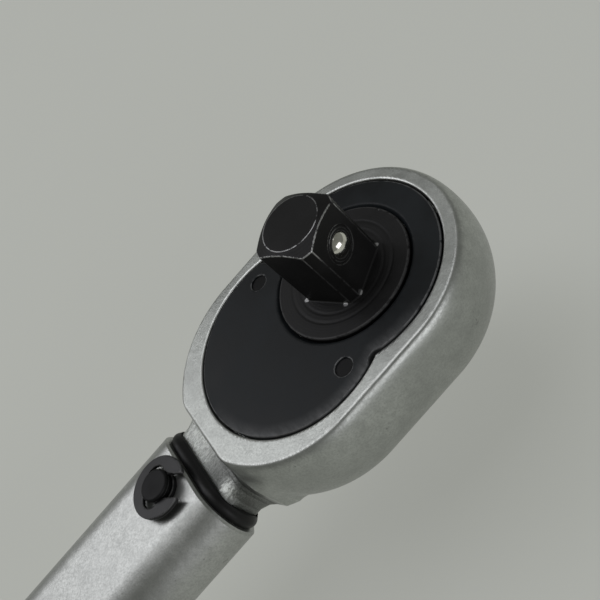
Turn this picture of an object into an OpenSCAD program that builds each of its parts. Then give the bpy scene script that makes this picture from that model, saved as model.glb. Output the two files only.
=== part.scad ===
// Click-type torque wrench: a reversible ratchet head with a square drive, pivoted in an oval-fronted tube.
// Frame: origin on the drive axis in the outer face of the cover plate, +X towards the nose of the head,
// +Z the way the square drive points. The tube and the grip run along -X. Lengths in millimetres.

/* [Drive] */
// Size of the square drive across its flats
drive_af = 12.7; // [12.2:0.1:13.2]
// Height of the square's end face above the cover plate
drive_tip_z = 16.44; // [15:0.1:18]
// Radius over the turned corners of the square
drive_corner_r = 7.98; // [7.6:0.02:8.4]
// Turn of the square about the drive axis, degrees
drive_turn = -61.56; // [-90:0.5:0]
// Radius of the collar that the square stands on
collar_r = 13.94; // [12:0.02:14.2]
// Radius of the detent ball
ball_r = 2.5; // [2.3:0.05:2.5]
// Height of the detent ball's centre
ball_z = 9.5; // [8:0.1:10.5]

/* [Head] */
// Radius of both round ends of the head's top face
head_r = 22.6; // [22:0.1:24]
// Distance of the rear round end's centre behind the drive axis
head_back = 17.9; // [17:0.1:20]
// Distance of the head's flat rear wall behind the drive axis
head_rear = 39.5; // [39:0.1:39.8]
// Thickness of the head
head_t = 21.8; // [21.5:0.1:24]
// Height of the tube's centre line below the cover plate
axis_drop = 10.9; // [10.7:0.1:11.1]
// Radius of the cover plate round the drive
cover_front_r = 19.96; // [19.2:0.02:20.2]
// Radius of the cover plate round the pawl
cover_rear_r = 20.3; // [19.6:0.1:20.5]
// Distance of the cover plate's rear circle behind the drive axis
cover_back = 14.75; // [14.5:0.05:15.2]
// Thickness of the cover plate
cover_t = 2.5; // [2.2:0.1:2.5]

/* [Ratchet] */
// Number of gear teeth
teeth = 36; // [36:36:36]
// Radius over the gear teeth
gear_r = 16.3; // [16.2:0.02:16.34]
// Height of a gear tooth
tooth_h = 1.1; // [0.9:0.05:1.2]

/* [Neck and pivot] */
// Width of the neck
neck_w = 22.2; // [20:0.1:22.3]
// Thickness of the neck and tail
neck_t = 10.6; // [10:0.1:10.8]
// Distance of the pivot pin behind the drive axis
pivot_back = 52.5; // [52:0.1:54]
// Radius of the pivot pin
pin_r = 3.15; // [2.8:0.05:3.3]
// Radius of the pivot pin's spring clips
clip_r = 6.1; // [5.8:0.1:6.5]

/* [Tube] */
// Distance of the tube's mouth behind the drive axis
tube_front = 47.3; // [47:0.1:47.8]
// Half the length of the oval's flat side
oval_half = 6; // [5.8:0.1:6.4]
// Outer radius of the oval's round edges
oval_r = 8.1; // [7.9:0.05:8.4]
// Outer radius of the round part of the tube
tube_r = 12; // [12:0.05:12.3]
// Wall thickness of the tube
wall = 2; // [1.9:0.05:2]
// Distance of the tube's rear end behind the drive axis
tube_rear = 385; // [380:1:390]

/* [Grip] */
// Outer radius of the knurled grip
grip_r = 15.5; // [15:0.1:17]
// Distance of the grip's front edge behind the drive axis
grip_front = 310; // [304:1:314]
// Distance of the grip's rear face behind the drive axis
grip_rear = 436; // [436:1:445]
// Length of the lock knob
knob_len = 12; // [10:0.5:16]
// Radius of the lock knob
knob_r = 12; // [10:0.5:13]

/* [Hidden] */
$fn = 64;
axis_z = -axis_drop;
gap = 0.35;
edge = 0.3;
fit = 0.05;
thin = 0.01;
eps = 0.5;
bulge = 2.2;
shoulder_z = -8;
dome_run = 10.4;
dome_drop = head_t + shoulder_z;
step_angle = 15;
pocket_floor = -13.2;
gear_top = -cover_t - 0.1;
gear_bottom = pocket_floor + 0.1;
gear_root = gear_r - tooth_h;
journal_r = 9;
journal_z = -18.5;
pitch_angle = 360 / teeth;
pawl_x = -20.5;
pawl_pin_r = 1.6;
pawl_tilt = 5;
pawl_arc_x = -19;
pawl_pocket_r = 13.4;
pawl_top = -4;
pawl_bottom = pocket_floor + 0.2;
tooth_gap = 0.09;
pad_inner = gear_root + 0.12;
pad_end = 40;
lever_x = -28.9;
lever_r = 4;
lever_turn = -30;
lever_top = -3.9;
plunger_z = -8.5;
plunger_reach = 5;
plunger_r = 1;
ring_z = pocket_floor + 0.1;
ring_t = 0.9;
screw_x = -12.2;
screw_y = 15.8;
screw_r = 1.72;
screw_head_r = 3.1;
screw_seat_z = -19;
ball_out = 5.15;
ball_bore_r = 2.55;
ball_lip_r = 2.27;
tail_w = 14;
neck_bevel = 3.5;
neck_slack = 0.45;
tail_rear = -101;
block = 7;
block_h = 8;
seat_depth = 1;
block_front = -100;
block_rear = block_front - block;
oval_end = -100;
round_start = -118;
plunger_face = block_rear + seat_depth;
plunger_body = -119;
plunger_rear = -137;
seat_front = -283;
seat_rear = -295.5;
race_r = 4.2;
race_ball_r = 1.25;
race_count = 8;
screw_front = seat_rear - 2.1;
adjust_r = 6;
nut_len = 17;
nut_screw_x = -tube_rear + 9;
plug_front = -grip_rear + 12;
stem_r = 3.95;
knob_front = -grip_rear - 1;
steel = [0.66, 0.67, 0.66];
black = [0.09, 0.09, 0.1];
bright = [0.78, 0.78, 0.78];

// A cylinder along the wrench's centre line, from x0 back to x1.
module rod(x0, x1, r, r2 = 0)
{
    translate([x1, 0, axis_z]) rotate([0, 90, 0]) cylinder(h = x0 - x1, r1 = (r2 > 0 ? r2 : r), r2 = r);
}

// An oval bar along the wrench's centre line, with its flats facing up and down.
module oval(x0, x1, half, r)
{
    translate([x1, -half, axis_z - r]) cube([x0 - x1, 2 * half, 2 * r]);
    for (s = [-1, 1]) translate([0, s * half, 0]) rod(x0, x1, r);
}

// An upright cylinder between two heights.
module post(x, y, z0, z1, r) translate([x, y, z0]) cylinder(h = z1 - z0, r = r);

// A coil of round wire round +Z from z = 0 to z = len, with one closed turn at each end.
module coil(mean_r, wire_r, len, turns, seg = 16, sides = 8)
{
    dead = 2.1 * wire_r;
    n = turns * seg;
    run = len - 2 * wire_r;
    function rise(t) = t < 1 ? dead * t
        : t > turns - 1 ? run - dead * (turns - t)
        : dead + (run - 2 * dead) * (t - 1) / (turns - 2);
    points = [for (i = [0:n], j = [0:sides - 1])
        let (a = 360 * i / seg, b = 360 * j / sides, r = mean_r + wire_r * cos(b))
        [r * cos(a), r * sin(a), wire_r + rise(i / seg) + wire_r * sin(b)]];
    skin = [for (i = [0:n - 1], j = [0:sides - 1])
        let (k = (j + 1) % sides)
        [i * sides + j, (i + 1) * sides + j, (i + 1) * sides + k, i * sides + k]];
    first = [for (j = [0:sides - 1]) j];
    last = [for (j = [sides - 1:-1:0]) n * sides + j];
    polyhedron(points, concat(skin, [first], [last]));
}

// Places a part that points along +X at its own origin on the drive's ball axis.
module on_ball_axis()
{
    translate([0, 0, ball_z]) rotate([0, 0, drive_turn]) rotate([0, 90, 0]) children();
}

// ---- head ----

function top_edge() = [for (a = [0:step_angle:90]) [bulge * sin(a), shoulder_z * (1 - cos(a))]];
function dome_edge() = [for (a = [step_angle:step_angle:90])
    [bulge - dome_run * (1 - cos(a)), shoulder_z - dome_drop * sin(a)]];
function head_edge() = [for (p = concat(top_edge(), dome_edge())) [head_r + p[0], p[1]]];

module head_end() rotate_extrude(angle = 180) polygon(concat([[0, 0]], head_edge(), [[0, -head_t]]));

module head_block()
{
    right = head_edge();
    left = [for (i = [len(right) - 1:-1:0]) [-right[i][0], right[i][1]]];
    rotate([0, 0, -90]) head_end();
    translate([-head_back, 0, 0]) rotate([0, 0, 90]) head_end();
    translate([-head_back, 0, 0]) rotate([90, 0, 90]) linear_extrude(head_back) polygon(concat(right, left));
}

// One eight-sided slice of the neck, in the plane x, with its own reach above and below the centre line.
module neck_slice(x, half_w, up, down)
{
    translate([x, 0, axis_z]) rotate([90, 0, 90]) linear_extrude(thin) neck_shape(half_w, up, down);
}

module neck_shape(half_w, up, down)
{
    c = neck_bevel;
    polygon([[half_w, up - c], [half_w - c, up], [c - half_w, up], [-half_w, up - c],
        [-half_w, c - down], [c - half_w, -down], [half_w - c, -down], [half_w, c - down]]);
}

// Reach of the neck's flare, from the plain neck up to the head's rear wall.
flare = [[-43.4, 0, 0, 0], [-41.4, 0.7, 0.3, 0.3], [-40.3, 1.5, 1.2, 1], [-39.3, 2.8, 3.4, 1.8], [-37, 4, 4.4, 2]];

module neck()
{
    hw = neck_w / 2;
    ht = neck_t / 2;
    for (i = [0:len(flare) - 2]) hull() for (f = [flare[i], flare[i + 1]])
        neck_slice(f[0], hw + f[1], ht + f[2], ht + f[3]);
    hull()
    {
        neck_slice(flare[0][0], hw, ht, ht);
        neck_slice(-pivot_back - 8, hw, ht, ht);
    }
}

module tail()
{
    th = neck_t - 0.2;
    translate([tail_rear, -tail_w / 2, axis_z - th / 2]) cube([-pivot_back - 5 - tail_rear, tail_w, th]);
}

// Flared seat that takes one end of the tilt block; its mouth is at x0 and its floor lies along dir.
module block_seat(x0, dir)
{
    w = block / 2 + 0.15;
    d = seat_depth + 0.03;
    translate([x0, 0, axis_z - block_h / 2 - 0.1]) linear_extrude(block_h + 0.2)
        polygon([[0, w + 0.35], [dir * d, w], [dir * d, -w], [0, -w - 0.35], [-dir, -w - 0.35], [-dir, w + 0.35]]);
}

module cover_cut(extra, z0, z1)
{
    post(0, 0, z0, z1, cover_front_r + extra);
    post(-cover_back, 0, z0, z1, cover_rear_r + extra);
}

module ratchet_head() color(steel) difference()
{
    union()
    {
        difference()
        {
            head_block();
            translate([-head_rear - 20, -40, -head_t - 5]) cube([20, 80, head_t + 10]);
        }
        post(lever_x, 0, -head_t, pocket_floor, lever_r + 3.6);
        neck();
        tail();
    }
    cover_cut(gap, -cover_t, 1);
    for (c = [[0, cover_front_r], [-cover_back, cover_rear_r]])
        translate([c[0], 0, -edge]) cylinder(h = edge + thin, r1 = c[1] + gap, r2 = c[1] + gap + edge);
    post(0, 0, pocket_floor, 0, gear_r + 0.3);
    post(pawl_arc_x, 0, pocket_floor, 0, pawl_pocket_r);
    post(lever_x, 0, pocket_floor, 0, lever_r + 1.3);
    post(0, 0, journal_z - 0.1, 0, journal_r + fit);
    post(lever_x, 0, -head_t - 1, 0, lever_r + fit);
    post(pawl_x, 0, -17, 0, pawl_pin_r + 0.02);
    for (s = [-1, 1])
    {
        post(screw_x, s * screw_y, -head_t - 1, 0, screw_r + 0.08);
        post(screw_x, s * screw_y, -head_t - 1, screw_seat_z, screw_head_r + 0.2);
    }
    post(-pivot_back, 0, axis_z - neck_t, axis_z + neck_t, pin_r + fit);
    block_seat(tail_rear, 1);
}

module cover_plate() color(black) difference()
{
    union()
    {
        cover_cut(0, -cover_t, 0);
    }
    post(0, 0, -cover_t - 1, 1, collar_r + 0.06);
    translate([0, 0, -0.9]) cylinder(h = 0.9 + thin, r1 = collar_r + 0.06, r2 = collar_r + 0.7);
    for (s = [-1, 1]) post(screw_x, s * screw_y, -cover_t - 1, 1, screw_r + 0.03);
}

module cover_screws() color(black) for (s = [-1, 1]) difference()
{
    union()
    {
        post(screw_x, s * screw_y, screw_seat_z - 0.1, -0.35, screw_r);
        post(screw_x, s * screw_y, screw_seat_z - 2.5, screw_seat_z - 0.05, screw_head_r);
    }
    translate([screw_x, s * screw_y, screw_seat_z - 3]) cylinder(h = 2, r = 1.45, $fn = 6);
}

module pawl_pin() color(bright) post(pawl_x, 0, -16.9, -cover_t - 0.1, pawl_pin_r);

// ---- drive ----

// One gear tooth's corners, tooth number i, grown outwards by g.
function tooth(i, g) = let (a = pitch_angle * i, root = gear_root, half = pitch_angle / 2 - 0.9)
    [[root, a - half], [gear_r, a - 1], [gear_r, a + 1], [root, a + half]];

module gear()
{
    ends = [for (i = [0:teeth - 1]) for (p = tooth(i, 0)) [p[0] * cos(p[1]), p[0] * sin(p[1])]];
    translate([0, 0, gear_bottom]) linear_extrude(gear_top - gear_bottom) polygon(ends);
}

module drive_square()
{
    flat_r = 5.62;
    bevel = 1.11;
    rotate([0, 0, drive_turn]) intersection()
    {
        translate([-drive_af / 2, -drive_af / 2, -1]) cube([drive_af, drive_af, drive_tip_z + 1]);
        rotate_extrude()
            polygon([[0, -1], [drive_corner_r, -1], [drive_corner_r, drive_tip_z - bevel],
                [flat_r, drive_tip_z], [0, drive_tip_z]]);
    }
}

module drive_anvil() color(black) difference()
{
    union()
    {
        gear();
        post(0, 0, gear_top - 1, 0.2, collar_r);
        post(0, 0, journal_z, gear_bottom + 1, journal_r);
        drive_square();
    }
    on_ball_axis() translate([0, 0, -2.4]) cylinder(h = 7.75, r = ball_bore_r);
    on_ball_axis() translate([0, 0, 5.35]) cylinder(h = drive_af / 2 - 5.35, r1 = ball_bore_r, r2 = ball_lip_r);
    on_ball_axis() difference()
    {
        translate([0, 0, drive_af / 2 - 0.15]) cylinder(h = 1, r = 3.4);
        translate([0, 0, drive_af / 2 - 1]) cylinder(h = 3, r = 3);
    }
}

module ball_spring() color(bright) on_ball_axis() translate([0, 0, -2.3]) coil(1.9, 0.22, ball_out - ball_r + 2.5, 5);

module detent_ball() color(bright) on_ball_axis() translate([0, 0, ball_out]) sphere(r = ball_r);

// ---- pawl and reversing lever ----

// Turns something flat about the pawl's pin, from its middle pose by this many tilts.
module pawl_turn(tilts) translate([pawl_x, 0]) rotate(tilts * pawl_tilt) translate([-pawl_x, 0]) children();

// Shapes for the pawl's end on the -Y side are drawn where that end is in mesh with the gear.
module pawl_pad() pawl_turn(-1)
    polygon([for (p = [[pad_inner, 20], [pad_inner, 25], [pad_inner, 30], [pad_inner, 35], [pad_inner, pad_end + 2],
        [gear_r + 3, pad_end + 2], [gear_r + 3, 20]]) [-p[0] * cos(p[1]), -p[0] * sin(p[1])]]);

// The gear's teeth near the pad, grown by the running clearance, and all that lies past the pad's end.
module pad_cuts() pawl_turn(-1)
{
    for (i = [1:5])
        polygon([for (p = [[gear_root - 1, -4.46], [gear_root + 0.02, -4.46], [gear_r + tooth_gap, -1.27],
            [gear_r + tooth_gap, 1.27], [gear_root + 0.02, 4.46], [gear_root - 1, 4.46]])
            let (a = pitch_angle * i + p[1]) [-p[0] * cos(a), -p[0] * sin(a)]]);
    rotate(180 + pad_end) square([30, 12]);
}

module pawl() color(bright) translate([0, 0, pawl_bottom]) linear_extrude(pawl_top - pawl_bottom)
    pawl_turn(1) difference()
{
    translate([pawl_arc_x, 0]) circle(r = pawl_pocket_r - 0.5);
    difference()
    {
        circle(r = gear_r + 0.75);
        for (m = [0, 1]) mirror([0, m, 0]) pawl_pad();
    }
    translate([lever_x, 0]) circle(r = plunger_reach + 0.06);
    translate([pawl_x, 0]) circle(r = pawl_pin_r + fit);
    translate([-40, -15]) square([40 + pawl_x - 4.15, 30]);
    for (m = [0, 1]) mirror([0, m, 0]) pad_cuts();
}

module at_lever() translate([lever_x, 0, 0]) rotate([0, 0, lever_turn]) children();

module reverse_lever() color(black) at_lever() difference()
{
    union()
    {
        post(0, 0, -head_t - 1, lever_top, lever_r);
        post(0, 0, -head_t - 3, -head_t - 0.2, lever_r + 3);
        translate([0, 0, -head_t - 3]) linear_extrude(2.2)
            polygon([[0, lever_r + 2.9], [-15.5, 3.6], [-15.5, -3.6], [0, -lever_r - 2.9]]);
        post(-15.5, 0, -head_t - 3, -head_t - 0.8, 3.6);
        for (i = [0:2]) translate([-17.6 + 2.2 * i, -2.6, -head_t - 3.7]) cube([1.1, 5.2, 1]);
    }
    difference()
    {
        post(0, 0, ring_z - 0.02, ring_z + ring_t + 0.05, lever_r + 1);
        post(0, 0, ring_z - 1, ring_z + ring_t + 1, lever_r - 0.7);
    }
    translate([-3, 0, plunger_z]) rotate([0, 90, 0]) cylinder(h = 9, r = plunger_r + 0.04);
}

module lever_ring() color(bright) difference()
{
    post(lever_x, 0, ring_z, ring_z + ring_t, lever_r + 0.55);
    post(lever_x, 0, ring_z - 1, ring_z + ring_t + 1, lever_r - 0.65);
    translate([lever_x - 9, -1.2, ring_z - 1]) cube([9, 2.4, 3]);
}

module pawl_plunger() color(bright) at_lever() translate([1.3, 0, plunger_z]) rotate([0, 90, 0]) union()
{
    cylinder(h = plunger_reach - plunger_r - 1.3, r = plunger_r);
    translate([0, 0, plunger_reach - plunger_r - 1.3]) sphere(r = plunger_r);
}

module pawl_spring() color(bright) at_lever() translate([-2.95, 0, plunger_z]) rotate([0, 90, 0])
    coil(0.78, 0.16, 4.2, 9, 12, 6);

// ---- tube ----

module tube_skin(inset)
{
    lap = inset > 0 ? 1 : 0;
    oval(-tube_front + lap, oval_end, oval_half, oval_r - inset);
    hull()
    {
        oval(oval_end + thin, oval_end, oval_half, oval_r - inset);
        rod(round_start + thin, round_start, tube_r - inset);
    }
    rod(round_start + thin, -tube_rear - lap, tube_r - inset);
}

module tube() color(steel) difference()
{
    tube_skin(0);
    tube_skin(wall);
    post(-pivot_back, 0, axis_z - 20, axis_z + 20, pin_r + 0.02);
    for (s = [-1, 1]) translate([nut_screw_x, 0, axis_z]) rotate([90 * s, 0, 0]) cylinder(h = 20, r = 2.02);
}

module neck_seal() color(black) difference()
{
    union()
    {
        oval(-45.2, -tube_front, oval_half, oval_r - 0.9);
        oval(-44.6, -45.3, oval_half, oval_r - 1.5);
        oval(-tube_front + thin, -tube_front - 1.7, oval_half, oval_r - wall - fit);
    }
    translate([-60, 0, axis_z]) rotate([90, 0, 90]) linear_extrude(20)
        neck_shape(neck_w / 2 + neck_slack, neck_t / 2 + 0.1, neck_t / 2 + 0.1);
}

// Half height of the pivot pin, and the near face of each clip groove.
pin_half = axis_drop + 0.3;
clip_in = axis_drop - 1.75;
clip_t = 1;

module pivot_pin() color(black) difference()
{
    union()
    {
        post(-pivot_back, 0, axis_z - pin_half + 0.4, axis_z + pin_half - 0.4, pin_r);
        for (s = [0, 1]) translate([-pivot_back, 0, axis_z]) mirror([0, 0, s]) translate([0, 0, pin_half - 0.4])
            cylinder(h = 0.4, r1 = pin_r, r2 = pin_r - 0.4);
    }
    for (s = [0, 1]) translate([-pivot_back, 0, axis_z]) mirror([0, 0, s]) difference()
    {
        post(0, 0, clip_in - 0.03, clip_in + clip_t + 0.03, pin_r + 1);
        post(0, 0, clip_in - 1, clip_in + clip_t + 1, pin_r - 0.65);
    }
}

// An E-shaped spring clip with three inner prongs, its mouth turned towards open_at degrees.
module e_clip(open_at)
{
    rotate([0, 0, open_at]) difference()
    {
        cylinder(h = clip_t, r = clip_r);
        translate([0, 0, -1]) cylinder(h = clip_t + 2, r = pin_r - 0.6);
        translate([0, -pin_r + 0.95, -1]) cube([clip_r + 1, 2 * pin_r - 1.9, clip_t + 2]);
        for (a = [-1, 1]) rotate([0, 0, a * 115]) translate([2.2, 0, -1]) difference()
        {
            cylinder(h = clip_t + 2, r = 2.1);
            translate([-3, 0, 0]) cylinder(h = clip_t + 2, r = 0.8);
        }
    }
}

module pin_clips() color(black) for (s = [0, 1])
    translate([-pivot_back, 0, axis_z]) mirror([0, 0, s]) translate([0, 0, clip_in]) e_clip(-46);

// ---- torque mechanism ----

module tilt_block() color(bright) translate([block_rear, -block / 2, axis_z - block_h / 2])
    cube([block, block, block_h]);

module spring_plunger() color(steel) difference()
{
    union()
    {
        translate([plunger_body - 1, -6, axis_z - 5.5]) cube([plunger_face - plunger_body + 1, 12, 11]);
        rod(plunger_body, plunger_rear, tube_r - wall - 0.07);
        rod(plunger_rear + 1, plunger_rear - 8, 5.2);
    }
    block_seat(plunger_face, -1);
}

module main_spring() color(bright) translate([seat_front, 0, axis_z]) rotate([0, 90, 0])
    coil(7.6, 1.8, plunger_rear - seat_front, 20, 18, 8);

module spring_seat() color(steel) difference()
{
    union()
    {
        rod(seat_front, seat_rear, tube_r - wall - 0.07);
        rod(seat_front + 8, seat_front - 1, 5.2);
    }
    translate([seat_rear - 0.8, 0, axis_z]) rotate([0, 90, 0]) rotate_extrude() translate([race_r, 0])
        circle(r = race_ball_r + fit);
}

module thrust_balls() color(bright) for (i = [0:race_count - 1])
    translate([seat_rear - 0.8, 0, axis_z]) rotate([360 * i / race_count, 0, 0]) translate([0, race_r, 0])
        sphere(r = race_ball_r);

module thread_nut() color(bright) difference()
{
    rod(-tube_rear + nut_len, -tube_rear, tube_r - wall - 0.02);
    rod(-tube_rear + nut_len + 1, -tube_rear - 1, adjust_r + fit);
    for (s = [-1, 1]) translate([nut_screw_x, 0, axis_z]) rotate([90 * s, 0, 0])
        translate([0, 0, adjust_r + 1.5]) cylinder(h = 9, r = 2.02);
}

module nut_screws() color(black) for (s = [-1, 1]) translate([nut_screw_x, 0, axis_z]) rotate([90 * s, 0, 0])
    difference()
    {
        translate([0, 0, adjust_r + 1.6]) cylinder(h = tube_r - adjust_r - 2, r = 2);
        translate([0, 0, tube_r - 2]) cylinder(h = 3, r = 1.15, $fn = 6);
    }

// ---- grip ----

module adjusting_screw() color(bright) union()
{
    rod(screw_front, screw_front - 3, adjust_r - 0.3);
    rod(screw_front - 3, plug_front, adjust_r);
    rod(plug_front + 1, plug_front - 3, 5.48);
}

module grip_sleeve() color(steel) difference()
{
    union()
    {
        rod(-grip_front, -grip_front - 9, tube_r + 1.1, grip_r - 1);
        rod(-grip_front - 9, -grip_front - 16, grip_r - 1);
        rod(-grip_front - 16, -grip_rear + 14, grip_r);
        rod(-grip_rear + 14, -grip_rear + 1, grip_r - 0.8);
        rod(-grip_rear + 1, -grip_rear, grip_r - 0.8, grip_r - 1.6);
    }
    rod(-grip_front + 1, plug_front - 1, tube_r + fit);
    rod(plug_front, -grip_rear - 1, 13.02);
    plug_holes(2.02);
}

// Three radial holes, or with a smaller radius the screws, that hold the plug in the sleeve.
module plug_holes(r) for (i = [0:2]) translate([-grip_rear + 6, 0, axis_z]) rotate([120 * i + 60, 0, 0])
    translate([0, 0, 9]) cylinder(h = 9, r = r);

module grip_plug() color(steel) difference()
{
    rod(plug_front, -grip_rear, 13);
    rod(plug_front + 1, plug_front - 5.5, 5.5);
    rod(plug_front, -grip_rear - 1, stem_r + fit);
    plug_holes(2.02);
}

module plug_screws() color(black) for (i = [0:2]) translate([-grip_rear + 6, 0, axis_z]) rotate([120 * i + 60, 0, 0])
    difference()
    {
        translate([0, 0, 9.1]) cylinder(h = grip_r - 10.1, r = 2);
        translate([0, 0, grip_r - 3]) cylinder(h = 3, r = 1.15, $fn = 6);
    }

module lock_knob() color(steel) difference()
{
    union()
    {
        rod(knob_front, knob_front - 1, knob_r, knob_r);
        rod(knob_front - 1, knob_front - knob_len + 1.2, knob_r);
        rod(knob_front - knob_len + 1.2, knob_front - knob_len, knob_r, knob_r - 1.2);
        rod(plug_front - 3.2, knob_front - 1, stem_r);
    }
    difference()
    {
        rod(plug_front - 4, plug_front - 5.1, stem_r + 1);
        rod(plug_front - 3, plug_front - 6, stem_r - 0.6);
    }
}

module knob_ring() color(bright) difference()
{
    rod(plug_front - 4.05, plug_front - 5.05, stem_r + 1);
    rod(plug_front - 3, plug_front - 6, stem_r - 0.55);
    translate([plug_front - 6, -1.1, axis_z]) cube([3, 2.2, 9]);
}

ratchet_head();
cover_plate();
cover_screws();
pawl_pin();
drive_anvil();
ball_spring();
detent_ball();
pawl();
reverse_lever();
lever_ring();
pawl_plunger();
pawl_spring();
tube();
neck_seal();
pivot_pin();
pin_clips();
tilt_block();
spring_plunger();
main_spring();
spring_seat();
thrust_balls();
thread_nut();
nut_screws();
adjusting_screw();
grip_sleeve();
grip_plug();
plug_screws();
lock_knob();
knob_ring();
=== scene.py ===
import math
import bpy
import numpy as np
from mathutils import Matrix, Vector


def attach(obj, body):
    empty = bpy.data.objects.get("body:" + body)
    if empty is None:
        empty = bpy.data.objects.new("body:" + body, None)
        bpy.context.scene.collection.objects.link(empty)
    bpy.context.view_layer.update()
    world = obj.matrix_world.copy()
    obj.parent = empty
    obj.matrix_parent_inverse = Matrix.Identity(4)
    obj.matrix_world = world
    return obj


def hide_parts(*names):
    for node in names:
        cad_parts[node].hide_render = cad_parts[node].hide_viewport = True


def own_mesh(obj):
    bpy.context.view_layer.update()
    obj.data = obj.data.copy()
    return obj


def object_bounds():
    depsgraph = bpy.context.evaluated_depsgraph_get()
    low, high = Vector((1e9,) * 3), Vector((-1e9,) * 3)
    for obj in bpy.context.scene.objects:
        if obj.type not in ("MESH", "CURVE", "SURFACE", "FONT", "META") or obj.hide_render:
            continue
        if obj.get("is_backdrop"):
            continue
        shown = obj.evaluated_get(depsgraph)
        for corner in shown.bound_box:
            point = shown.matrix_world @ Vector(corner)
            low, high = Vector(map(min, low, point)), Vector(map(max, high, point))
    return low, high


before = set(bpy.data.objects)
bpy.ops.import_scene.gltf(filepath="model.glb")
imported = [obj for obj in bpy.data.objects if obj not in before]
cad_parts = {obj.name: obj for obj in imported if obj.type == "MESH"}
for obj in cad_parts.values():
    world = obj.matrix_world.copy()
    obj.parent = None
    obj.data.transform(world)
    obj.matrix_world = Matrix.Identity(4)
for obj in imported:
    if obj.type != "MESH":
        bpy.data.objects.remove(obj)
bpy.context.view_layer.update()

MM = 0.001

# Lengths in millimetres. The origin is on the drive's axis in the cover plate's outer face.
# The square points to +z and the handle runs to -x.
AXIS_Z = -10.9                                      # centre line of neck, tube and grip
HEAD_R, HEAD_BACK, HEAD_REAR, HEAD_T = 22.6, 17.9, 39.5, 21.8
WAIST = 8.0                                         # depth of the head's widest line
PLATE_R, PLATE_REAR_R, PLATE_REAR_X, PLATE_T = 19.96, 20.3, -14.75, 2.5
SCREW_X, SCREW_Y = -12.2, 15.8                      # cover screws, one on each side
PAWL_X, LEVER_X, PIN_X = -20.5, -28.9, -52.5        # axes behind the drive's
NECK_Y, NECK_Z = 11.1, 5.3                          # half sizes of the neck
FLARE_X = (-43.4, -41.4, -40.3, -39.3, -37.0)       # stations where the neck widens into the head
COLLAR_R, SQUARE, CORNER_R, SQUARE_TOP = 13.94, 6.35, 7.98, 16.44
DRIVE_TURN = math.radians(-61.56)
CLIP_TURN, LEVER_TURN = math.radians(-46), math.radians(-30)
BALL_Z, BALL_R, BALL_OUT = 9.5, 2.5, 5.15           # height, radius, centre's distance from the drive's axis
CLIP_W = 9.65                                       # clips, above and below the centre line
TUBE_R, TUBE_FRONT, TUBE_REAR = 12, -47.3, -385

# ------------------------------------------------------------------ distance fields, millimetres

NEWTON_STEPS = 3


def hyp(a, b):
    return np.sqrt(a * a + b * b)


def smax(a, b, k):
    h = np.maximum(k - np.abs(a - b), 0) / k
    return np.maximum(a, b) + h * h * k * 0.25


def smin(a, b, k):
    return -smax(-a, -b, k)


def turned(x, y, angle):
    """The point (x, y) in axes turned by angle."""
    c, s = math.cos(angle), math.sin(angle)
    return x * c + y * s, -x * s + y * c


def round_box(u, v, a, b, r):
    qu, qv = np.abs(u) - (a - r), np.abs(v) - (b - r)
    return hyp(np.maximum(qu, 0), np.maximum(qv, 0)) + np.minimum(np.maximum(qu, qv), 0) - r


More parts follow.
